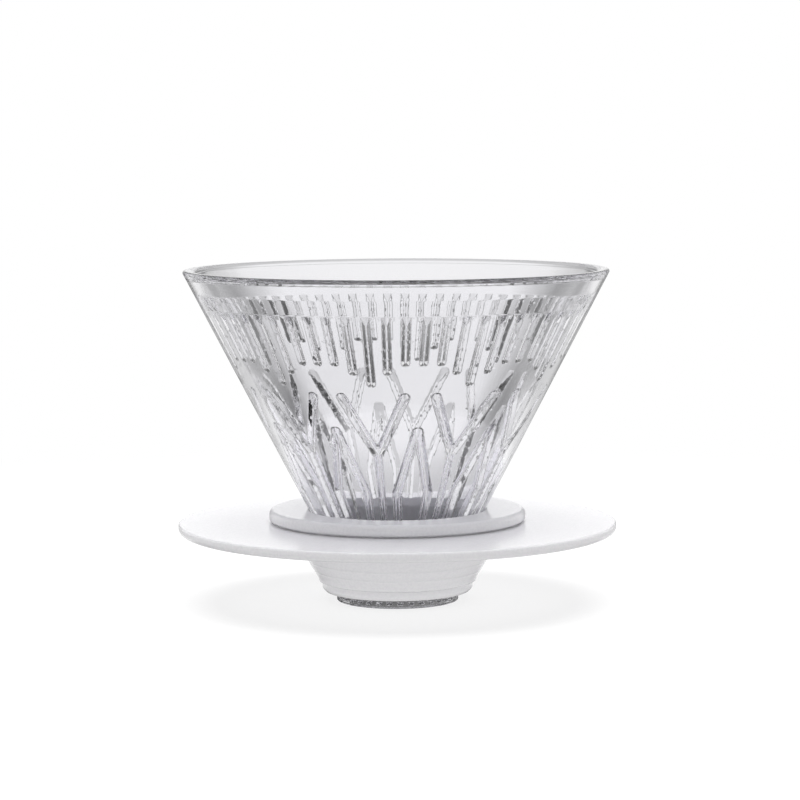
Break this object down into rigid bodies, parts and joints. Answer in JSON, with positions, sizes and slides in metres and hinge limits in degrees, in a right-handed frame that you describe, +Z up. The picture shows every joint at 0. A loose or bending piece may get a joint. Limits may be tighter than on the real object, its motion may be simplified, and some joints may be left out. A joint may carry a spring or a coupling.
{
  "type": "pour over dripper",
  "caption": "Clear ribbed cone for a paper coffee filter, held in a white saucer-shaped holder that rests on a mug or server.",
  "frame": {"origin": "centre of the surface that the cone's outlet stands on", "axes": "+Z up along the cone's axis, towards the rim; -Y towards the front"},
  "size_m": [0.1186, 0.1186, 0.09],
  "materials": {
    "clear_cone": "clear polished moulding",
    "white_holder": "satin moulded white"
  },
  "bodies": {
    "holder": {"collar": "white_holder", "saucer": "white_holder", "retaining_ring": "white_holder"},
    "cone": {"filter_cone": "clear_cone"}
  },
  "joints": [
    {"name": "cone_lift", "type": "slide", "parent": "holder", "child": "cone", "axis": [0, 0, 1], "range_m": [0, 0.035]}
  ]
}
